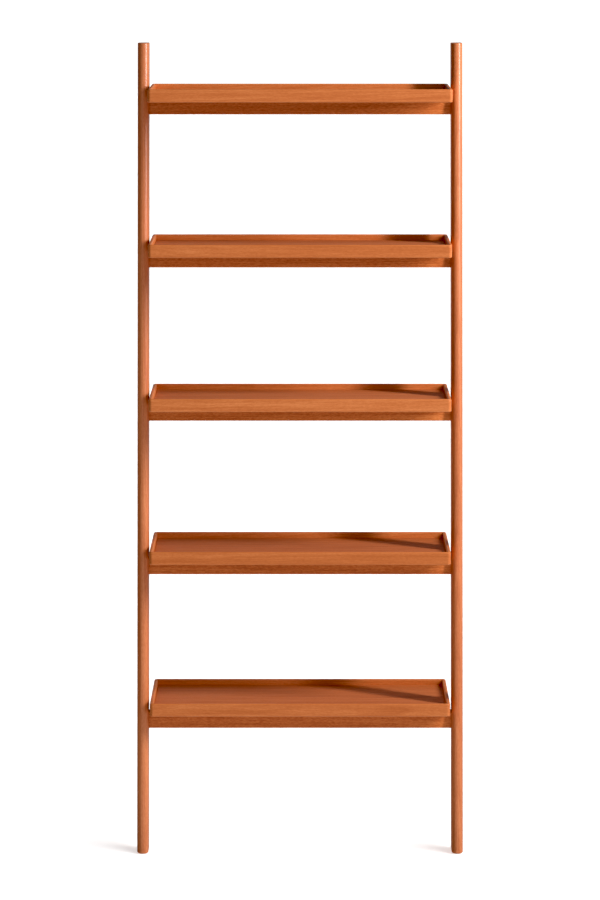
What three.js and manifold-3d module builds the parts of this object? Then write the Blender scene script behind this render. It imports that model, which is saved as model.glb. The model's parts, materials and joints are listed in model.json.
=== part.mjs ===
// Leaning ladder shelf: five shallow wooden trays, each screwed down on a rectangular rung
// that runs between two uprights with round edges. The uprights lean back, the trays are level,
// and the backs of the trays and the top of the uprights lie against the wall.
// Millimetres. +X is to the right seen from the front, +Y goes back to the wall, +Z is up.
// The origin is on the floor, midway across the width and midway through the trays' depth.
import * as THREE from "three";
import { mergeVertices } from "three/addons/utils/BufferGeometryUtils.js";
import Module from "manifold-3d";

const wasm = await Module();
wasm.setup();

// Layout
const TRAY_COUNT = 5;
const TRAY_PITCH = 375;
const LOWEST_LIP_Z = 377;
const LEAN = THREE.MathUtils.degToRad(6.6);
const SIDES = { left: -1, right: 1 };

// Uprights: boards with fully round front and back edges, cut level at the top and at the foot;
// the depth is measured level, and the foot's place is the middle of it on the floor
const UPRIGHT_THICKNESS = 28;
const UPRIGHT_DEPTH = 66;
const UPRIGHT_X = 386;
const UPRIGHT_FOOT_Y = -112;
const UPRIGHT_TOP_Z = 1979;
const FOOT_ROUNDING = 4;

// Trays: a panel inside a mitred rim, flush with it underneath
const TRAY_WIDTH = 734;
const TRAY_DEPTH = 300;
const TRAY_HEIGHT = 32;
const TRAY_CORNER_RADIUS = 8;
const RIM_THICKNESS = 9;
const RIM_EDGE_ROUNDING = 3.5;
const PANEL_THICKNESS = 18;
const PANEL_EDGE_BREAK = 0.8;

// Rungs: rectangular bars, their ends housed in pockets in the uprights' inner sides
const RUNG_DEPTH = 30;
const RUNG_HEIGHT = 41;
const RUNG_EDGE_ROUNDING = 2;
const RUNG_HOUSING = 8;

// Rung screws: socket heads sunk in the outer side of each upright
const RUNG_SCREW = { head: 6, headHeight: 5, shank: 3, length: 58, socket: 2.4, socketDepth: 3 };
const RUNG_SCREW_SINK = 7;

// Tray screws: driven up through the rung into the panel
const TRAY_SCREW = { head: 4, headHeight: 3, shank: 2, length: 31, socket: 1.7, socketDepth: 2 };
const TRAY_SCREW_X = 240;
const TRAY_SCREW_BITE = 12;

// Foot pads: rubber strips with round ends, let into the feet
const PAD_WIDTH = 16;
const PAD_DEPTH = 48;
const PAD_THICKNESS = 3;
const PAD_PROUD = 1.5;

// Wall brackets: steel angles under the back of the top tray, in the plane of the wall
const BRACKET_X = 250;
const BRACKET_WIDTH = 25;
const BRACKET_LEG = 30;
const BRACKET_THICKNESS = 2;
const BRACKET_HOLE_RADIUS = 2.6;
const BRACKET_EYE_DROP = 18;
const BRACKET_SCREW = { head: 4, headHeight: 2.5, shank: 2, length: 14, socket: 1.7, socketDepth: 1.5 };

// Fits and fineness
const GAP = 0.3;
const OVERRUN = 5;
const DRIVER_ROOM = 40;
const HOLE_STEPS = 14;
const SCREW_STEPS = 12;
const ARC_STEPS = 2;
const EDGE_STEPS = 3;
const CHAMFER_STEPS = 1;
const ROUND_EDGE_STEPS = 6;
const SOCKET_SIDES = 6;

const WOOD = { roughness: 0.45, metalness: 0 };
const STEEL = { roughness: 0.35, metalness: 1 };
const uprightWood = new THREE.MeshStandardMaterial({ color: 0xb8683c, ...WOOD });
const rungWood = new THREE.MeshStandardMaterial({ color: 0x9a4e26, ...WOOD });
const rimWood = new THREE.MeshStandardMaterial({ color: 0xb5653b, ...WOOD });
const panelWood = new THREE.MeshStandardMaterial({ color: 0xa35a36, ...WOOD });
const screwSteel = new THREE.MeshStandardMaterial({ color: 0x8c8f93, ...STEEL });
const bracketSteel = new THREE.MeshStandardMaterial({ color: 0xa8abae, ...STEEL });
const padRubber = new THREE.MeshStandardMaterial({ color: 0x2a2826, roughness: 0.9 });

const shelf = new THREE.Group();

// A closed three.js geometry as a manifold-3d solid.
function solid(geometry) {
  const bare = geometry.clone();
  bare.deleteAttribute("normal");
  bare.deleteAttribute("uv");
  const merged = mergeVertices(bare, 1e-4);
  return new wasm.Manifold(
    new wasm.Mesh({
      numProp: 3,
      vertProperties: merged.attributes.position.array,
      triVerts: new Uint32Array(merged.index.array),
    }),
  );
}

// Puts a manifold-3d solid into the shelf as a named mesh.
function addPiece(name, body, material) {
  const { vertProperties, triVerts } = body.getMesh();
  const geometry = new THREE.BufferGeometry();
  geometry.setAttribute("position", new THREE.BufferAttribute(vertProperties, 3));
  geometry.setIndex(new THREE.BufferAttribute(triVerts, 1));
  const flat = geometry.toNonIndexed();
  flat.computeVertexNormals();
  const piece = new THREE.Mesh(flat, material);
  piece.name = name;
  shelf.add(piece);
}

function vector(x, y, z) {
  return new THREE.Vector3(x, y, z);
}

// The matrix that stands a +Y shape along a direction, with its origin at a point.
function alongFrom(point, direction) {
  const turn = new THREE.Quaternion().setFromUnitVectors(vector(0, 1, 0), direction);
  return new THREE.Matrix4().compose(point, turn, vector(1, 1, 1));
}

// A round bar between two points.
function rod(radius, from, to, steps) {
  const span = to.clone().sub(from);
  const bar = new THREE.CylinderGeometry(radius, radius, span.length(), steps);
  bar.translate(0, span.length() / 2, 0);
  return solid(bar.applyMatrix4(alongFrom(from, span.normalize())));
}

function box(low, high) {
  const size = high.clone().sub(low);
  const block = new THREE.BoxGeometry(size.x, size.y, size.z);
  return solid(block.translate(...low.clone().add(high).multiplyScalar(0.5)));
}

// A rectangle about the origin with round corners; a radius of 0 leaves them sharp.
function roundedRectangle(width, height, radius, path = new THREE.Shape()) {
  const x = width / 2;
  const y = height / 2;
  if (radius === 0) {
    path.moveTo(-x, -y).lineTo(x, -y).lineTo(x, y).lineTo(-x, y).closePath();
    return path;
  }
  path.moveTo(-x + radius, -y);
  path.absarc(x - radius, -y + radius, radius, -Math.PI / 2, 0);
  path.absarc(x - radius, y - radius, radius, 0, Math.PI / 2);
  path.absarc(-x + radius, y - radius, radius, Math.PI / 2, Math.PI);
  path.absarc(-x + radius, -y + radius, radius, Math.PI, 1.5 * Math.PI);
  path.closePath();
  return path;
}

// Extrudes a plan outline upwards from z = 0, with its top and bottom edges eased inwards.
function easedExtrusion(outline, height, ease, easeSteps, arcSteps = ARC_STEPS) {
  const plate = new THREE.ExtrudeGeometry(outline, {
    depth: height - 2 * ease,
    curveSegments: arcSteps,
    bevelThickness: ease,
    bevelSize: ease,
    bevelOffset: -ease,
    bevelSegments: easeSteps,
  });
  return plate.translate(0, 0, ease);
}

function extrusion(outline, depth, arcSteps = ARC_STEPS) {
  return new THREE.ExtrudeGeometry(outline, { depth, curveSegments: arcSteps, bevelEnabled: false });
}

// Heights and places that follow from the driving dimensions
function trayBase(level) {
  return LOWEST_LIP_Z + level * TRAY_PITCH - TRAY_HEIGHT;
}

function rungCentreZ(level) {
  return trayBase(level) - GAP - RUNG_HEIGHT / 2;
}

function rungCentre(level) {
  const z = rungCentreZ(level);
  return vector(0, UPRIGHT_FOOT_Y + z * Math.tan(LEAN), z);
}

// A screw with a flat round head and a hex socket; the head's underside is at seat, and the
// shank runs from there along direction to a short point.
function screw(size, seat, direction) {
  const profile = [
    [0, -size.headHeight],
    [size.head, -size.headHeight],
    [size.head, 0],
    [size.shank, 0],
    [size.shank, size.length - size.shank],
    [0, size.length],
  ].map(([radius, along]) => new THREE.Vector2(radius, along));
  const place = alongFrom(seat, direction);
  const body = new THREE.LatheGeometry(profile, SCREW_STEPS).applyMatrix4(place);
  const depth = size.socketDepth + OVERRUN;
  const key = new THREE.CylinderGeometry(size.socket, size.socket, depth, SOCKET_SIDES);
  key.translate(0, size.socketDepth - size.headHeight - depth / 2, 0).applyMatrix4(place);
  return solid(body).subtract(solid(key));
}

// The hole that a screw needs: clearance for the shank, and for the head out to the surface.
function screwHole(size, seat, direction) {
  const headEnd = seat.clone().addScaledVector(direction, -size.headHeight - DRIVER_ROOM);
  const floor = seat.clone().addScaledVector(direction, GAP);
  const tip = seat.clone().addScaledVector(direction, size.length + GAP);
  const counterbore = rod(size.head + GAP, headEnd, floor, HOLE_STEPS);
  return counterbore.add(rod(size.shank + GAP, seat, tip, HOLE_STEPS));
}

function rungScrewSeat(side, level) {
  const x = side * (UPRIGHT_X + UPRIGHT_THICKNESS / 2 - RUNG_SCREW_SINK);
  return rungCentre(level).setX(x);
}

function traySeat(side, level) {
  const reach = TRAY_SCREW.length - TRAY_SCREW_BITE;
  return vector(side * TRAY_SCREW_X, rungCentre(level).y, trayBase(level) - reach);
}

function bracketSeat(side) {
  const legFace = trayBase(TRAY_COUNT - 1) - GAP - BRACKET_THICKNESS - GAP;
  return vector(side * BRACKET_X, (TRAY_DEPTH - BRACKET_LEG) / 2, legFace);
}

const UP = vector(0, 0, 1);
const INWARD = { left: vector(1, 0, 0), right: vector(-1, 0, 0) };

// A rung's plain bar; with clearance it is the tool that cuts the pockets for its ends.
function rungBar(level, clearance) {
  const grown = 2 * clearance;
  const section = roundedRectangle(RUNG_HEIGHT + grown, RUNG_DEPTH + grown, RUNG_EDGE_ROUNDING);
  const reach = UPRIGHT_X - UPRIGHT_THICKNESS / 2 + RUNG_HOUSING + clearance;
  const bar = extrusion(section, 2 * reach).translate(0, 0, -reach);
  return solid(bar.rotateY(Math.PI / 2).translate(...rungCentre(level)));
}

// A foot pad, standing on the floor; with clearance it is the tool that cuts its recess.
function padBlock(side, clearance) {
  const grown = 2 * clearance;
  const width = PAD_WIDTH + grown;
  const outline = roundedRectangle(width, PAD_DEPTH + grown, width / 2);
  const block = extrusion(outline, PAD_THICKNESS + clearance, ROUND_EDGE_STEPS);
  return solid(block.translate(side * UPRIGHT_X, UPRIGHT_FOOT_Y, 0));
}

// An upright's plain board: a level outline extruded upwards, sheared back and cut off level.
function uprightBoard(side) {
  const radius = UPRIGHT_THICKNESS / 2;
  const outline = roundedRectangle(UPRIGHT_THICKNESS, UPRIGHT_DEPTH, radius);
  const board = easedExtrusion(outline, UPRIGHT_TOP_Z + OVERRUN, FOOT_ROUNDING, EDGE_STEPS, ROUND_EDGE_STEPS);
  board.translate(side * UPRIGHT_X, UPRIGHT_FOOT_Y, PAD_PROUD);
  board.applyMatrix4(new THREE.Matrix4().makeShear(0, 0, 0, 0, 0, Math.tan(LEAN)));
  const low = vector(side * UPRIGHT_X - radius - OVERRUN, -TRAY_DEPTH, 0);
  const high = vector(side * UPRIGHT_X + radius + OVERRUN, TRAY_DEPTH, UPRIGHT_TOP_Z);
  return solid(board).intersect(box(low, high));
}

function addUpright(where, side) {
  let upright = uprightBoard(side).subtract(padBlock(side, GAP));
  for (let level = 0; level < TRAY_COUNT; level++) {
    upright = upright.subtract(rungBar(level, GAP));
    upright = upright.subtract(screwHole(RUNG_SCREW, rungScrewSeat(side, level), INWARD[where]));
  }
  addPiece(`upright_${where}`, upright, uprightWood);
  addPiece(`foot_pad_${where}`, padBlock(side, 0), padRubber);
}

function addRung(level) {
  let rung = rungBar(level, 0);
  for (const [where, side] of Object.entries(SIDES)) {
    rung = rung.subtract(screwHole(RUNG_SCREW, rungScrewSeat(side, level), INWARD[where]));
    rung = rung.subtract(screwHole(TRAY_SCREW, traySeat(side, level), UP));
  }
  addPiece(`rung_${level + 1}`, rung, rungWood);
}

// The whole rim as one ring, standing on z = 0.
function rimRing() {
  const outline = roundedRectangle(TRAY_WIDTH, TRAY_DEPTH, TRAY_CORNER_RADIUS);
  const inside = 2 * RIM_THICKNESS;
  const opening = roundedRectangle(TRAY_WIDTH - inside, TRAY_DEPTH - inside, 0, new THREE.Path());
  outline.holes.push(opening);
  return solid(easedExtrusion(outline, TRAY_HEIGHT, RIM_EDGE_ROUNDING, EDGE_STEPS));
}

// A prism that takes one side's strip out of the ring, between mitres at 45 degrees.
function mitreWedge(length, depth, turn) {
  const inner = depth / 2 - 2 * RIM_THICKNESS;
  const outer = depth / 2 + OVERRUN;
  const excess = (length - depth) / 2 - GAP / Math.SQRT2;
  const wedge = new THREE.Shape();
  wedge.moveTo(-inner - excess, -inner);
  wedge.lineTo(-outer - excess, -outer);
  wedge.lineTo(outer + excess, -outer);
  wedge.lineTo(inner + excess, -inner);
  wedge.closePath();
  const prism = extrusion(wedge, TRAY_HEIGHT + 2 * OVERRUN).translate(0, 0, -OVERRUN);
  return solid(prism.rotateZ(turn));
}

const RIM_STRIPS = {
  front: mitreWedge(TRAY_WIDTH, TRAY_DEPTH, 0),
  right: mitreWedge(TRAY_DEPTH, TRAY_WIDTH, Math.PI / 2),
  back: mitreWedge(TRAY_WIDTH, TRAY_DEPTH, Math.PI),
  left: mitreWedge(TRAY_DEPTH, TRAY_WIDTH, -Math.PI / 2),
};

function addTray(level) {
  const base = trayBase(level);
  const inset = 2 * (RIM_THICKNESS + GAP);
  const outline = roundedRectangle(TRAY_WIDTH - inset, TRAY_DEPTH - inset, 0);
  const board = easedExtrusion(outline, PANEL_THICKNESS, PANEL_EDGE_BREAK, CHAMFER_STEPS);
  let panel = solid(board.translate(0, 0, base));
  for (const side of Object.values(SIDES)) {
    panel = panel.subtract(screwHole(TRAY_SCREW, traySeat(side, level), UP));
    if (level === TRAY_COUNT - 1) {
      panel = panel.subtract(screwHole(BRACKET_SCREW, bracketSeat(side), UP));
    }
  }
  addPiece(`tray_${level + 1}_panel`, panel, panelWood);
  const ring = rimRing();
  for (const [name, wedge] of Object.entries(RIM_STRIPS)) {
    const strip = ring.intersect(wedge).translate([0, 0, base]);
    addPiece(`tray_${level + 1}_rim_${name}`, strip, rimWood);
  }
}

function addScrews(where, side, level) {
  const sunk = screw(RUNG_SCREW, rungScrewSeat(side, level), INWARD[where]);
  addPiece(`rung_screw_${level + 1}_${where}`, sunk, screwSteel);
  addPiece(`tray_screw_${level + 1}_${where}`, screw(TRAY_SCREW, traySeat(side, level), UP), screwSteel);
}

function addWallBracket(where, side) {
  const top = trayBase(TRAY_COUNT - 1) - GAP;
  const back = TRAY_DEPTH / 2;
  const low = side * BRACKET_X - BRACKET_WIDTH / 2;
  const high = side * BRACKET_X + BRACKET_WIDTH / 2;
  const front = back - BRACKET_LEG;
  const leg = box(vector(low, front, top - BRACKET_THICKNESS), vector(high, back, top));
  const plate = box(vector(low, back - BRACKET_THICKNESS, top - BRACKET_LEG), vector(high, back, top));
  const seat = bracketSeat(side);
  const screwDrill = rod(BRACKET_HOLE_RADIUS, seat, seat.clone().setZ(top + OVERRUN), HOLE_STEPS);
  const eye = vector(side * BRACKET_X, back, top - BRACKET_EYE_DROP);
  const wallDrill = rod(BRACKET_HOLE_RADIUS, eye.clone().setY(front), eye.setY(back + OVERRUN), HOLE_STEPS);
  const bracket = leg.add(plate).subtract(screwDrill).subtract(wallDrill);
  addPiece(`wall_bracket_${where}`, bracket, bracketSteel);
  addPiece(`bracket_screw_${where}`, screw(BRACKET_SCREW, seat, UP), screwSteel);
}

for (let level = 0; level < TRAY_COUNT; level++) {
  addRung(level);
  addTray(level);
}
for (const [where, side] of Object.entries(SIDES)) {
  addUpright(where, side);
  for (let level = 0; level < TRAY_COUNT; level++) {
    addScrews(where, side, level);
  }
  addWallBracket(where, side);
}

export default shelf;
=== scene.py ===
"""Leaning ladder shelf in orange-brown wood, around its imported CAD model.

Metres, in the CAD model's frame: +X to the right seen from the front, +Y back to the wall, +Z up,
with the floor at z = 0. The two wall brackets are the CAD nodes with a new material. Every other
piece is rebuilt as a finer mesh, which stands for its CAD node in the same place.
"""

import json
import math
import random

import bpy
from mathutils import Matrix, Vector

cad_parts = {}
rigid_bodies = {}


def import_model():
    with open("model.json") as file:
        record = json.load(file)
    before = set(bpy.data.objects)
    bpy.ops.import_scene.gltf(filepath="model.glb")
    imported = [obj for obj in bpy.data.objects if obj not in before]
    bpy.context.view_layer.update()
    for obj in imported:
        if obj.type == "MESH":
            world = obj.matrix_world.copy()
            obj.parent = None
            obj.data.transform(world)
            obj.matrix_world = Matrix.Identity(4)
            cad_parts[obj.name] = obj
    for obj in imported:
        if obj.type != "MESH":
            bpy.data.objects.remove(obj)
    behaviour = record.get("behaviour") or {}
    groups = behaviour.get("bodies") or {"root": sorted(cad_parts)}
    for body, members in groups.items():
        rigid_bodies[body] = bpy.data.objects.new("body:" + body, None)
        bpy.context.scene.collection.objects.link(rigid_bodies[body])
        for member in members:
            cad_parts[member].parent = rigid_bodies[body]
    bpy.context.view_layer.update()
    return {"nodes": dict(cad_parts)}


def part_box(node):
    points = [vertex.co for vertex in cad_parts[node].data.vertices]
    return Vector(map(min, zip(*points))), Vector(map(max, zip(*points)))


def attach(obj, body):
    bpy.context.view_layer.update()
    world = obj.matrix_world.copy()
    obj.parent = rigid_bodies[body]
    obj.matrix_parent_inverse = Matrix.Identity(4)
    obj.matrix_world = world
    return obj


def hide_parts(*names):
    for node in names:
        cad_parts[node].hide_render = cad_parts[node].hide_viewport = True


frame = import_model()

LEVELS = range(1, 6)
SIDES = {"left": -1, "right": 1}
RIGHT = Vector((1, 0, 0))
BACK = Vector((0, 1, 0))
UP = Vector((0, 0, 1))

# Uprights: the depth is measured level, as in the CAD model
UPRIGHT_DEPTH = 0.066
LEAN = math.radians(6.6)
FOOT_ROUNDING = 0.004
TOP_ROUNDING = 0.0008
NOSE_STEPS = 20

# Rungs and trays
RUNG_ROUNDING = 0.002
RIM_THICKNESS = 0.009
RIM_ROUNDING = 0.0035
TRAY_CORNER = 0.008
MITRE_GAP = 0.0001
PANEL_ROUNDING = 0.0008

# Fineness of the meshes, and the angle over which an edge stays sharp
ROUNDING_STEPS = 4
CORNER_STEPS = 6
SCREW_STEPS = 36
SHARP_ANGLE = math.radians(35)
ROUND_ANGLES = [2 * math.pi * i / SCREW_STEPS for i in range(SCREW_STEPS)]

# Hardware, and the clearance round what is let into the wood
RUNG_SCREW = {"head_height": 0.005, "shank": 0.003, "socket": 0.0024, "socket_depth": 0.003}
TRAY_SCREW = {"head_height": 0.003, "shank": 0.002, "socket": 0.0017, "socket_depth": 0.002}
BRACKET_SCREW = {"head_height": 0.0025, "shank": 0.002, "socket": 0.0017, "socket_depth": 0.0015}
FIT = 0.0003

# Wood: the distance between growth rings, and how far each board's pith lies from it and leans
RING_SPACING = 0.0042
PITH_SIDEWAYS = 0.04
PITH_NEAREST = 0.035
PITH_FURTHEST = 0.09
PITH_LEANS = (math.radians(1.6), math.radians(1.2))
GRAIN_RUN = 40

# Camera: a long lens, above the top tray, tilted down and shifted
CAMERA_PLACE = Vector((0, -9.010, 2.304))
CAMERA_PITCH = math.radians(5.701)
LENS_MM = 147.63
VERTICAL_SHIFT = -0.19

# Light: a tall, narrow softbox to the right in front, soft light mostly from the right, the front
# and below, light thrown back up by the white floor, and a softbox behind for the views from there
KEY_PLACE = Vector((3.18, -1.63, 3.1))
KEY_TARGET = Vector((0, -0.15, 1.4))
KEY_SIZE = (0.35, 2.0)
KEY_POWER = 198
SURROUND_AHEAD = (0.65, 0.3, 0.04)  # from +X, +Y and +Z
SURROUND_BEHIND = (0.0, 0.58, 1.0)  # from -X, -Y and -Z
BOUNCE_PLACE = Vector((0, -1.3, 0.01))
BOUNCE_SIZE = (3.0, 2.0)
BOUNCE_POWER = 6.6
REAR_PLACE = Vector((-1.3, 2.4, 0.9))
REAR_TARGET = Vector((0, 0.1, 1.0))
REAR_SIZE = (2.2, 1.4)
REAR_POWER = 45

# Stage: the floor and the surround, the sun that lights only the floor, and the picture's contrast
FLOOR_GLOW = 0.58
FLOOR_SUN = {"energy": 3.2, "angle": math.radians(50)}
FLOOR_SUN_FROM = Vector((1.2, -0.67, 1.0))
SURROUND_GLOW = 1.2
BLACK_LEVEL = 0.016
STAGE_RADIUS = 40


# ---------------------------------------------------------------- materials


def linear(red, green, blue):
    """A colour given as 0 to 255 on screen, as the linear colour that shaders take."""
    return tuple(
        c / 12.92 if c <= 0.04045 else ((c + 0.055) / 1.055) ** 2.4
        for c in (red / 255, green / 255, blue / 255)
    ) + (1.0,)


def grey(value):
    return (value, value, value, 1.0)


class Shader:
    """A node tree being written; add() makes a node, sets it and feeds its inputs."""

    def __init__(self, owner):
        owner.use_nodes = True
        self.tree = owner.node_tree

    def add(self, kind, inputs, **settings):
        node = self.tree.nodes.new(kind)
        for name, value in settings.items():
            setattr(node, name, value)
        for key, value in inputs.items():
            self.feed(node.inputs[key], value)
        return node

    def feed(self, socket, value):
        if isinstance(value, bpy.types.NodeSocket):
            self.tree.links.new(value, socket)
        else:
            socket.default_value = value

    def set(self, surface, **inputs):
        for name, value in inputs.items():
            self.feed(self.tree.nodes[surface].inputs[name.replace("_", " ")], value)

    def math(self, operation, first, second=0.0):
        return self.add("ShaderNodeMath", {0: first, 1: second}, operation=operation).outputs[0]

    def vector(self, operation, first, second=(0, 0, 0), output="Vector"):
        node = self.add("ShaderNodeVectorMath", {0: first, 1: second}, operation=operation)
        return node.outputs[output]

    def noise(self, place, scale, detail=3.0, roughness=0.55):
        """Noise stretched along the axes: scale gives the features per metre along each."""
        stretched = self.vector("MULTIPLY", place, scale)
        inputs = {"Vector": stretched, "Scale": 1.0, "Detail": detail, "Roughness": roughness}
        return self.add("ShaderNodeTexNoise", inputs).outputs["Fac"]

    def spread(self, value, low, high, to_low=0.0, to_high=1.0, smooth=True):
        """Maps low to high onto to_low to to_high, and holds what is outside at the nearer end."""
        kind = "SMOOTHSTEP" if smooth else "LINEAR"
        inputs = {"Value": value, "From Min": low, "From Max": high, "To Min": to_low, "To Max": to_high}
        return self.add("ShaderNodeMapRange", inputs, interpolation_type=kind).outputs[0]

    def ramp(self, value, stops):
        node = self.add("ShaderNodeValToRGB", {"Fac": value})
        elements = node.color_ramp.elements
        while len(elements) < len(stops):
            elements.new(0.5)
        for element, (position, colour) in zip(elements, stops):
            element.position = position
            element.color = colour
        return node.outputs["Color"]

    def mix(self, factor, first, second):
        node = self.add("ShaderNodeMix", {}, data_type="RGBA")
        self.feed(node.inputs["Factor"], factor)
        self.feed(node.inputs["A"], first)
        self.feed(node.inputs["B"], second)
        return node.outputs["Result"]

    def bump(self, height, distance, strength):
        inputs = {"Height": height, "Distance": distance, "Strength": strength}
        return self.add("ShaderNodeBump", inputs).outputs["Normal"]

    def attribute(self, name, output):
        return self.add("ShaderNodeAttribute", {}, attribute_name=name).outputs[output]


def wood(name, pale, middle, dark, roughness, gleam, coat, fleck):
    """Satin-stained wood. Each board's own coordinates run along its grain in X, and its growth
    rings are cylinders about their X axis. gleam is the specular level, coat the weight of the
    varnish, and fleck how much the short dark flecks count."""
    material = bpy.data.materials.new(name)
    shader = Shader(material)
    place = shader.attribute("board", "Vector")
    edge = shader.attribute("edge", "Fac")
    radius = shader.vector("LENGTH", shader.vector("MULTIPLY", place, (0, 1, 1)), output="Value")
    drift = shader.spread(shader.noise(place, (1.3, 9, 9)), 0.2, 0.8, -0.005, 0.005, smooth=False)
    turns = shader.math("DIVIDE", shader.math("ADD", radius, drift), RING_SPACING)
    year = shader.math("FRACT", turns)
    late = shader.ramp(year, [(0.0, grey(0.0)), (0.55, grey(0.2)), (0.9, grey(1.0)), (1.0, grey(0.0))])
    season = shader.spread(shader.noise(place, (0.9, 40, 40), detail=1.0), 0.3, 0.7, 0.2, 1.0)
    rings = shader.math("MULTIPLY", late, season)
    bands = shader.spread(shader.noise(place, (1.5, 60, 60), detail=4.0), 0.3, 0.7)
    fibres = shader.spread(shader.noise(place, (9, 520, 520), detail=4.0, roughness=0.7), 0.3, 0.7)
    pores = shader.spread(shader.noise(place, (75, 1500, 1500), detail=2.0), 0.62, 0.72)
    tone = shader.spread(shader.noise(place, (0.8, 5, 5), detail=2.0), 0.3, 0.7)
    dashes = shader.noise(place, (110, 520, 520), detail=3.0, roughness=0.7)
    flecks = shader.spread(dashes, 0.35, 0.65, -0.5, 0.5)

    depth = shader.math("MULTIPLY", rings, 0.22)
    for layer, weight in ((bands, 0.22), (fibres, 0.3), (tone, 0.22), (flecks, fleck)):
        depth = shader.math("ADD", depth, shader.math("MULTIPLY", layer, weight))
    colour = shader.ramp(depth, [(0.05, pale), (0.45, middle), (1.0, dark)])
    colour = shader.mix(shader.math("MULTIPLY", pores, 0.4), colour, dark)
    # Painted highlight and wear: the wood is mixed towards its pale colour along every rounded edge, partly
    # as wear and partly standing for the light that the edges catch.
    colour = shader.mix(shader.math("MULTIPLY", edge, 0.25), colour, pale)

    gloss = shader.math("ADD", shader.math("MULTIPLY", fibres, 0.09), roughness)
    gloss = shader.math("ADD", gloss, shader.math("MULTIPLY", pores, 0.15))
    gloss = shader.math("SUBTRACT", gloss, shader.math("MULTIPLY", edge, 0.05))
    height = shader.math("ADD", shader.math("MULTIPLY", fibres, 0.5), shader.math("MULTIPLY", rings, 0.3))
    height = shader.math("SUBTRACT", height, pores)
    relief = shader.bump(height, 0.00012, 0.35)
    shader.set("Principled BSDF", Base_Color=colour, Roughness=gloss, Normal=relief)
    shader.set("Principled BSDF", Specular_IOR_Level=gleam, Coat_Weight=coat, Coat_Roughness=0.2)
    return material


def zinc(name, colour, brushed_along):
    """Zinc-plated steel with a fine brushed grain, cloudy in tone."""
    material = bpy.data.materials.new(name)
    shader = Shader(material)
    place = shader.add("ShaderNodeTexCoord", {}).outputs["Object"]
    grain = shader.noise(place, brushed_along, detail=3.0, roughness=0.7)
    clouds = shader.noise(place, (160, 160, 160), detail=4.0)
    specks = shader.spread(shader.noise(place, (1400, 1400, 1400), detail=1.0), 0.66, 0.74)
    bright = tuple(min(1.0, c * 1.25) for c in colour[:3]) + (1.0,)
    base = shader.mix(shader.spread(clouds, 0.3, 0.7), colour, bright)
    base = shader.mix(shader.math("MULTIPLY", specks, 0.5), base, grey(0.12))
    gloss = shader.math("ADD", shader.math("MULTIPLY", grain, 0.18), 0.24)
    gloss = shader.math("ADD", gloss, shader.math("MULTIPLY", specks, 0.2))
    relief = shader.bump(grain, 0.00004, 0.3)
    shader.set("Principled BSDF", Base_Color=base, Metallic=1.0, Roughness=gloss, Normal=relief)
    return material


def rubber(name, colour):
    """Matt black rubber, slightly dusty."""
    material = bpy.data.materials.new(name)
    shader = Shader(material)
    place = shader.add("ShaderNodeTexCoord", {}).outputs["Object"]
    dust = shader.spread(shader.noise(place, (220, 220, 220), detail=5.0), 0.45, 0.75)
    pits = shader.noise(place, (2400, 2400, 2400), detail=2.0)
    base = shader.mix(shader.math("MULTIPLY", dust, 0.35), colour, linear(96, 90, 84))
    gloss = shader.math("ADD", shader.math("MULTIPLY", dust, 0.15), 0.72)
    relief = shader.bump(pits, 0.00006, 0.5)
    shader.set("Principled BSDF", Base_Color=base, Roughness=gloss, Normal=relief)
    return material


# ---------------------------------------------------------------- meshes


def make_object(name, points, faces, edges=None):
    """A mesh object at the origin; edges gives each point's place on a rounded edge, from 0 to 1."""
    mesh = bpy.data.meshes.new(name)
    mesh.from_pydata([tuple(p) for p in points], [], faces)
    mesh.validate()
    if edges:
        layer = mesh.attributes.new("edge", "FLOAT", "POINT")
        layer.data.foreach_set("value", edges)
    made = bpy.data.objects.new(name, mesh)
    bpy.context.scene.collection.objects.link(made)
    return made


def loft(name, loops, weights):
    """A closed skin over loops of equally many points, capped at both ends. weights says how much
    each point counts as a rounded edge. Points that fall together are merged."""
    count = len(loops[0])
    keys = {}
    points, edges, index = [], [], []
    for loop, weight in zip(loops, weights):
        for point, share in zip(loop, weight):
            key = tuple(round(c, 7) for c in point)
            if key not in keys:
                keys[key] = len(points)
                points.append(point)
                edges.append(share)
            index.append(keys[key])
    faces = [index[:count], index[-count:][::-1]]
    for start in range(0, len(index) - count, count):
        for i in range(count):
            near, far = start + i, start + (i + 1) % count
            faces.append([index[far], index[near], index[count + near], index[count + far]])
    faces = [list(dict.fromkeys(face)) for face in faces]
    return make_object(name, points, [face for face in faces if len(face) > 2], edges)


def rounded_section(width, height, radius):
    """Points and edge weights round a rectangle about the origin, with its corners rounded."""
    points, weights = [], []
    for corner in range(4):
        start = corner * math.pi / 2
        sign_x = (1, -1, -1, 1)[corner]
        sign_y = (1, 1, -1, -1)[corner]
        for step in range(ROUNDING_STEPS + 1):
            angle = start + step / ROUNDING_STEPS * math.pi / 2
            x = sign_x * (width / 2 - radius) + radius * math.cos(angle)
            y = sign_y * (height / 2 - radius) + radius * math.sin(angle)
            points.append((x, y))
            weights.append(math.sin(math.pi * step / ROUNDING_STEPS))
    return points, weights


def carve(made, cutters):
    """Cuts other closed objects out of one, and removes them."""
    for cutter in cutters:
        modifier = made.modifiers.new("cut", "BOOLEAN")
        modifier.operation = "DIFFERENCE"
        modifier.solver = "EXACT"
        modifier.object = cutter
    graph = bpy.context.evaluated_depsgraph_get()
    cut = bpy.data.meshes.new_from_object(made.evaluated_get(graph))
    cut.name = made.name
    made.modifiers.clear()
    made.data = cut
    for cutter in cutters:
        bpy.data.objects.remove(cutter)


def rod(name, start, end, radius):
    """A plain round bar between two points, for cutting holes."""
    along = end - start
    turn = along.to_track_quat("Z", "Y").to_matrix()
    ring = [turn @ Vector((radius * math.cos(a), radius * math.sin(a), 0)) for a in ROUND_ANGLES]
    loops = [[centre + spoke for spoke in ring] for centre in (start, end)]
    return loft(name, loops, [[0.0] * SCREW_STEPS] * 2)


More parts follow.
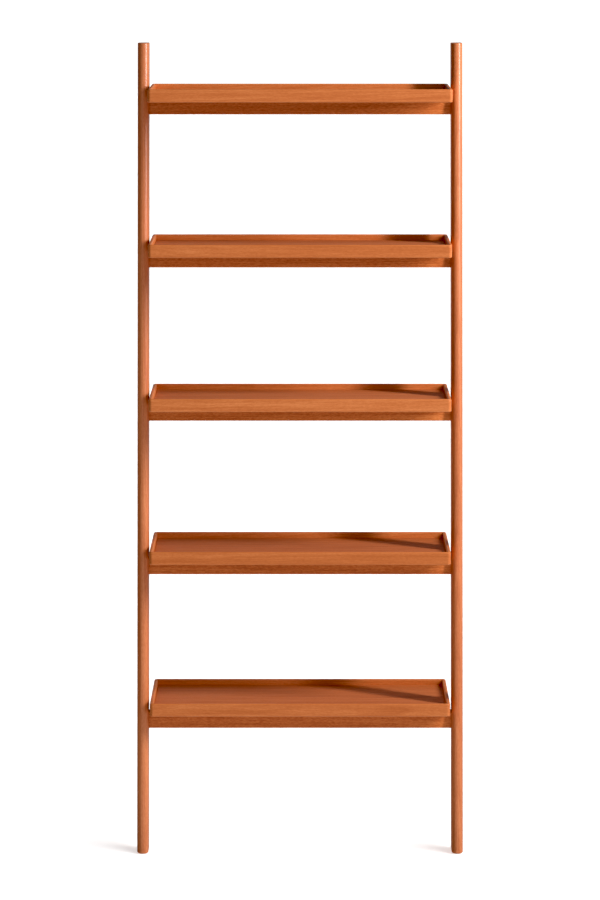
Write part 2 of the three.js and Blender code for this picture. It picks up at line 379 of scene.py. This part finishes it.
def block(name, low, high):
    """A plain box, for cutting pockets."""
    corners = [(low.x, low.y), (high.x, low.y), (high.x, high.y), (low.x, high.y)]
    loops = [[Vector((x, y, z)) for x, y in corners] for z in (low.z, high.z)]
    return loft(name, loops, [[0.0] * 4] * 2)


def give_grain(made, along, across):
    """Stores each point's place in its own board: X along the grain, with the pith of the tree at
    the X axis, somewhere beside the board and never quite parallel to it."""
    chance = random.Random(made.name)
    sideways = chance.uniform(-PITH_SIDEWAYS, PITH_SIDEWAYS)
    away_from_pith = chance.uniform(PITH_NEAREST, PITH_FURTHEST) * chance.choice((-1, 1))
    run = chance.uniform(0, GRAIN_RUN)
    tilt = Matrix.Rotation(chance.uniform(-PITH_LEANS[0], PITH_LEANS[0]), 3, "Y")
    tilt @= Matrix.Rotation(chance.uniform(-PITH_LEANS[1], PITH_LEANS[1]), 3, "Z")
    third = along.cross(across)
    low, high = (Vector(c) for c in (made.bound_box[0], made.bound_box[6]))
    middle = (low + high) / 2
    values = []
    for vertex in made.data.vertices:
        away = vertex.co - middle
        local = tilt @ Vector((away.dot(along), away.dot(across), away.dot(third)))
        values.extend((local.x + run, local.y + sideways, local.z + away_from_pith))
    layer = made.data.attributes.new("board", "FLOAT_VECTOR", "POINT")
    layer.data.foreach_set("vector", values)


def install(made, material, node):
    """Finishes a piece: smooth rounded edges, its material, and the CAD node that it stands for."""
    made.data.shade_smooth()
    made.data.set_sharp_from_angle(angle=SHARP_ANGLE)
    weighted = made.modifiers.new("flat_faces_stay_flat", "WEIGHTED_NORMAL")
    weighted.keep_sharp = True
    made.data.materials.append(material)
    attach(made, "root")
    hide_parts(node)


# ---------------------------------------------------------------- pieces


def stadium(straight, radius):
    """A level outline round the origin: two half circles, each a given way from it along Y."""
    points = []
    for end in (1, -1):
        for step in range(NOSE_STEPS + 1):
            angle = math.pi * step / NOSE_STEPS + (0 if end > 0 else math.pi)
            points.append((radius * math.cos(angle), end * straight + radius * math.sin(angle)))
    return points


def make_upright(where, side, material):
    node = f"upright_{where}"
    low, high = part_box(node)
    half_width = (high.x - low.x) / 2
    centre_x = (high.x + low.x) / 2
    loops, weights = [], []
    quarter = [math.pi / 2 * i / ROUNDING_STEPS for i in range(ROUNDING_STEPS + 1)]
    levels = [(FOOT_ROUNDING * (1 - math.sin(a)), low.z + FOOT_ROUNDING * (1 - math.cos(a))) for a in quarter]
    levels += [(TOP_ROUNDING * (1 - math.cos(a)), high.z - TOP_ROUNDING * (1 - math.sin(a))) for a in quarter]
    for number, (inset, z) in enumerate(levels):
        centre_y = high.y - UPRIGHT_DEPTH / 2 - (high.z - z) * math.tan(LEAN)
        outline = stadium(UPRIGHT_DEPTH / 2 - half_width, half_width - inset)
        loops.append([Vector((centre_x + x, centre_y + y, z)) for x, y in outline])
        share = math.sin(math.pi * (number % len(quarter)) / ROUNDING_STEPS)
        weights.append([share] * len(outline))
    made = loft(f"{node}_wood", loops, weights)
    cutters = []
    for level in LEVELS:
        pocket_low, pocket_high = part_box(f"rung_{level}")
        grown = Vector((FIT, FIT, FIT))
        cutters.append(block("pocket", pocket_low - grown, pocket_high + grown))
        screw_low, screw_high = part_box(f"rung_screw_{level}_{where}")
        axis = (screw_low + screw_high) / 2
        seat = max(abs(screw_low.x), abs(screw_high.x)) - RUNG_SCREW["head_height"]
        start = Vector((side * seat, axis.y, axis.z))
        radius = (screw_high.z - screw_low.z) / 2 + FIT
        cutters.append(rod("counterbore", start, start + side * half_width * RIGHT, radius))
    carve(made, cutters)
    give_grain(made, Vector((0, math.sin(LEAN), math.cos(LEAN))), RIGHT)
    install(made, material, node)


def make_rung(level, material):
    node = f"rung_{level}"
    low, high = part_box(node)
    size = high - low
    middle = (low + high) / 2
    section, share = rounded_section(size.y, size.z, RUNG_ROUNDING)
    loops = [[Vector((x, middle.y + y, middle.z + z)) for y, z in section] for x in (low.x, high.x)]
    made = loft(f"{node}_wood", loops, [share, share])
    cutters = []
    for where in SIDES:
        screw_low, screw_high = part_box(f"tray_screw_{level}_{where}")
        axis = (screw_low + screw_high) / 2
        start = Vector((axis.x, axis.y, low.z - size.z))
        seat = Vector((axis.x, axis.y, screw_low.z + TRAY_SCREW["head_height"]))
        cutters.append(rod("counterbore", start, seat, (screw_high.x - screw_low.x) / 2 + FIT))
    carve(made, cutters)
    give_grain(made, RIGHT, BACK)
    install(made, material, node)


def tray_box(level):
    """The lowest and highest corner of a whole tray."""
    side_low, side_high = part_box(f"tray_{level}_rim_right")
    front_low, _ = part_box(f"tray_{level}_rim_front")
    _, back_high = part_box(f"tray_{level}_rim_back")
    return Vector((-side_high.x, front_low.y, side_low.z)), Vector((side_high.x, back_high.y, side_high.z))


def make_rim_strip(level, name, quarter_turns, material):
    """One strip of a rim: its section follows the tray's outline from mitre to mitre."""
    node = f"tray_{level}_rim_{name}"
    low, high = tray_box(level)
    size = high - low
    middle = (low + high) / 2
    half_length, half_depth = size.x / 2, size.y / 2
    if quarter_turns % 2:
        half_length, half_depth = half_depth, half_length
    turn = Matrix.Rotation(quarter_turns * math.pi / 2, 3, "Z")
    section, share = rounded_section(RIM_THICKNESS, size.z, RIM_ROUNDING)
    loops = []
    for end in (-1, 1):
        centre = Vector((end * (half_length - TRAY_CORNER), -half_depth + TRAY_CORNER))
        sweep = [math.pi / 4 * step / CORNER_STEPS for step in range(CORNER_STEPS + 1)]
        for angle in reversed(sweep) if end < 0 else sweep:
            outwards = Vector((end * math.sin(angle), -math.cos(angle)))
            loop = []
            for offset, z in section:
                inset = RIM_THICKNESS / 2 - offset
                reach = TRAY_CORNER - inset
                place = centre + (reach * outwards if reach > 0 else reach * Vector((end, -1)))
                spot = Vector((place.x - end * MITRE_GAP, place.y, z))
                loop.append(turn @ spot + middle)
            loops.append(loop)
    made = loft(f"{node}_wood", loops, [share] * len(loops))
    along = turn @ RIGHT
    give_grain(made, along, UP)
    install(made, material, node)


def make_panel(level, material):
    node = f"tray_{level}_panel"
    low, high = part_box(node)
    size = high - low
    middle = (low + high) / 2
    insets = [PANEL_ROUNDING, 0.0, 0.0, PANEL_ROUNDING]
    section, share = rounded_section(size.y, size.z, PANEL_ROUNDING)
    places = [low.x, low.x + PANEL_ROUNDING, high.x - PANEL_ROUNDING, high.x]
    loops = []
    for x, inset in zip(places, insets):
        shrink_y = (size.y - 2 * inset) / size.y
        shrink_z = (size.z - 2 * inset) / size.z
        loops.append([Vector((x, middle.y + y * shrink_y, middle.z + z * shrink_z)) for y, z in section])
    made = loft(f"{node}_wood", loops, [share] * len(loops))
    give_grain(made, RIGHT, BACK)
    install(made, material, node)


def hexagon_radius(angle, apothem):
    """How far a hexagon's edge is from its centre at an angle."""
    return apothem / math.cos((angle + math.pi / 6) % (math.pi / 3) - math.pi / 6)


def make_screw(node, direction, size, material):
    """A flat-headed screw with a hex socket, its head's edges softly chamfered."""
    low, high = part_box(node)
    spans = high - low
    length = abs(spans.dot(direction))
    head = min(spans) / 2
    middle = (low + high) / 2
    start = middle - direction * length / 2
    turn = direction.to_track_quat("Z", "Y").to_matrix()
    soft = size["head_height"] / 8
    socket = size["socket"]
    shank = size["shank"]
    rings = [
        (0.0, size["socket_depth"], None),
        (socket, size["socket_depth"], "hex"),
        (socket, soft / 2, "hex"),
        (socket + soft / 2, 0.0, "hex"),
        (head - soft, 0.0, None),
        (head - soft / 3, soft / 3, None),
        (head, soft, None),
        (head, size["head_height"] - soft / 2, None),
        (head - soft / 2, size["head_height"], None),
        (shank, size["head_height"], None),
        (shank, length - shank, None),
        (0.0, length, None),
    ]
    loops = []
    for radius, along, form in rings:
        loop = []
        for angle in ROUND_ANGLES:
            reach = hexagon_radius(angle, radius) if form == "hex" else radius
            loop.append(start + turn @ Vector((reach * math.cos(angle), reach * math.sin(angle), along)))
        loops.append(loop)
    made = loft(f"{node}_steel", loops, [[0.0] * SCREW_STEPS] * len(loops))
    install(made, material, node)


def make_pad(where, material):
    node = f"foot_pad_{where}"
    low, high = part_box(node)
    middle = (low + high) / 2
    half_width = (high.x - low.x) / 2
    straight = (high.y - low.y) / 2 - half_width
    soft = (high.z - low.z) / 5
    loops = []
    for inset, z in ((soft, low.z), (0.3 * soft, low.z + 0.3 * soft), (0.0, low.z + soft), (0.0, high.z)):
        outline = stadium(straight, half_width - inset)
        loops.append([Vector((middle.x + x, middle.y + y, z)) for x, y in outline])
    made = loft(f"{node}_rubber", loops, [[0.0] * len(loops[0])] * len(loops))
    install(made, material, node)


# ---------------------------------------------------------------- stage


def make_stage():
    """A white floor and a white surround. Only the camera sees them, so that they throw no light
    on the shelf."""
    floor_white = bpy.data.materials.new("floor_white")
    shader = Shader(floor_white)
    place = shader.add("ShaderNodeTexCoord", {}).outputs["Object"]
    mottle = shader.spread(shader.noise(place, (3, 3, 3)), 0.3, 0.7, 0.86, 0.9)
    shade = shader.add("ShaderNodeCombineColor", {0: mottle, 1: mottle, 2: mottle}).outputs[0]
    shader.set("Principled BSDF", Base_Color=shade, Roughness=0.9)
    shader.set("Principled BSDF", Emission_Color=grey(1.0), Emission_Strength=FLOOR_GLOW)
    rim = [(STAGE_RADIUS * math.cos(a), STAGE_RADIUS * math.sin(a), 0) for a in ROUND_ANGLES]
    floor = make_object("floor", rim, [list(range(SCREW_STEPS))])
    floor.data.materials.append(floor_white)

    surround_white = bpy.data.materials.new("surround_white")
    shader = Shader(surround_white)
    shader.set("Principled BSDF", Base_Color=grey(0.0), Roughness=1.0)
    shader.set("Principled BSDF", Emission_Color=grey(1.0), Emission_Strength=SURROUND_GLOW)
    bpy.ops.mesh.primitive_uv_sphere_add(radius=STAGE_RADIUS)
    surround = bpy.context.object
    surround.name = "surround"
    surround.data.materials.append(surround_white)
    for made in (floor, surround):
        made.visible_diffuse = False
        made.visible_glossy = False
        made.visible_transmission = False
        made.visible_shadow = False
    return floor


def shine_on(light, made, state):
    """Includes an object in, or excludes it from, what a light shines on."""
    receivers = bpy.data.collections.new(f"{light.name}_reach")
    receivers.objects.link(made)
    receivers.collection_objects[0].light_linking.link_state = state
    light.light_linking.receiver_collection = receivers


def make_light(name, kind, place, target, **settings):
    data = bpy.data.lights.new(name, kind)
    for key, value in settings.items():
        setattr(data, key, value)
    light = bpy.data.objects.new(name, data)
    light.location = place
    light.rotation_mode = "QUATERNION"
    light.rotation_quaternion = (target - place).to_track_quat("-Z", "Y")
    bpy.context.scene.collection.objects.link(light)
    return light


def make_surround():
    """Soft light from everywhere, its strength blended from the six directions of the axes."""
    world = bpy.data.worlds.new("studio")
    shader = Shader(world)
    toward = shader.add("ShaderNodeTexCoord", {}).outputs["Generated"]
    total = 0.0
    for half, strengths in (("MAXIMUM", SURROUND_AHEAD), ("MINIMUM", SURROUND_BEHIND)):
        share = shader.vector(half, toward)
        share = shader.vector("MULTIPLY", share, share)
        total = shader.math("ADD", shader.vector("DOT_PRODUCT", share, strengths, "Value"), total)
    shader.set("Background", Color=grey(1.0), Strength=total)
    bpy.context.scene.world = world


def light_scene(floor):
    """The softboxes light all but the floor. The sun lights only the floor, where the uprights and
    the foot pads alone throw a shadow."""
    make_surround()
    softboxes = {
        "key_softbox": (KEY_PLACE, KEY_TARGET, KEY_SIZE, KEY_POWER),
        "floor_bounce": (BOUNCE_PLACE, BOUNCE_PLACE + UP, BOUNCE_SIZE, BOUNCE_POWER),
        "rear_softbox": (REAR_PLACE, REAR_TARGET, REAR_SIZE, REAR_POWER),
    }
    for name, (place, target, (width, height), power) in softboxes.items():
        settings = {"shape": "RECTANGLE", "size": width, "size_y": height, "energy": power}
        shine_on(make_light(name, "AREA", place, target, **settings), floor, "EXCLUDE")
    bpy.data.objects["rear_softbox"].visible_glossy = False  # or the tray floors would mirror it
    sun = make_light("floor_sun", "SUN", FLOOR_SUN_FROM, Vector(), **FLOOR_SUN)
    shine_on(sun, floor, "INCLUDE")
    blockers = bpy.data.collections.new("floor_shadow_casters")
    for made in bpy.data.objects:
        if made.name.startswith(("upright", "foot_pad")):
            blockers.objects.link(made)
    sun.light_linking.blocker_collection = blockers


def place_camera():
    data = bpy.data.cameras.new("camera")
    data.lens = LENS_MM
    data.shift_y = VERTICAL_SHIFT
    camera = bpy.data.objects.new("camera", data)
    camera.location = CAMERA_PLACE
    camera.rotation_euler = (math.pi / 2 - CAMERA_PITCH, 0, 0)
    bpy.context.scene.collection.objects.link(camera)
    bpy.context.scene.camera = camera


# ---------------------------------------------------------------- assembly

upright_wood = wood(
    "upright_wood", linear(218, 135, 86), linear(196, 110, 64), linear(161, 81, 42),
    roughness=0.36, gleam=0.45, coat=0.22, fleck=0.2,
)
rung_wood = wood(
    "rung_wood", linear(222, 134, 74), linear(197, 107, 54), linear(150, 68, 24),
    roughness=0.45, gleam=0.25, coat=0.05, fleck=0.34,
)
rim_wood = wood(
    "rim_wood", linear(217, 133, 80), linear(195, 110, 61), linear(166, 85, 42),
    roughness=0.44, gleam=0.2, coat=0.03, fleck=0.2,
)
panel_wood = wood(
    "panel_wood", linear(206, 121, 73), linear(184, 102, 59), linear(150, 76, 42),
    roughness=0.5, gleam=0.12, coat=0.02, fleck=0.16,
)
screw_steel = zinc("screw_steel", linear(168, 172, 178), (900, 900, 900))
bracket_steel = zinc("bracket_steel", linear(182, 186, 190), (60, 900, 900))
pad_rubber = rubber("pad_rubber", linear(30, 28, 27))

for where, side in SIDES.items():
    make_upright(where, side, upright_wood)
    make_pad(where, pad_rubber)
for level in LEVELS:
    make_rung(level, rung_wood)
    make_panel(level, panel_wood)
    for quarter_turns, name in enumerate(("front", "right", "back", "left")):
        make_rim_strip(level, name, quarter_turns, rim_wood)
    for where, side in SIDES.items():
        make_screw(f"rung_screw_{level}_{where}", -side * RIGHT, RUNG_SCREW, screw_steel)
        make_screw(f"tray_screw_{level}_{where}", UP, TRAY_SCREW, screw_steel)
for where in SIDES:
    make_screw(f"bracket_screw_{where}", UP, BRACKET_SCREW, screw_steel)
    frame["nodes"][f"wall_bracket_{where}"].data.materials.clear()
    frame["nodes"][f"wall_bracket_{where}"].data.materials.append(bracket_steel)

light_scene(make_stage())
place_camera()
develop = bpy.context.scene.view_settings
develop.view_transform = "Standard"
develop.use_curve_mapping = True
develop.curve_mapping.black_level = (BLACK_LEVEL, BLACK_LEVEL, BLACK_LEVEL)
develop.curve_mapping.update()
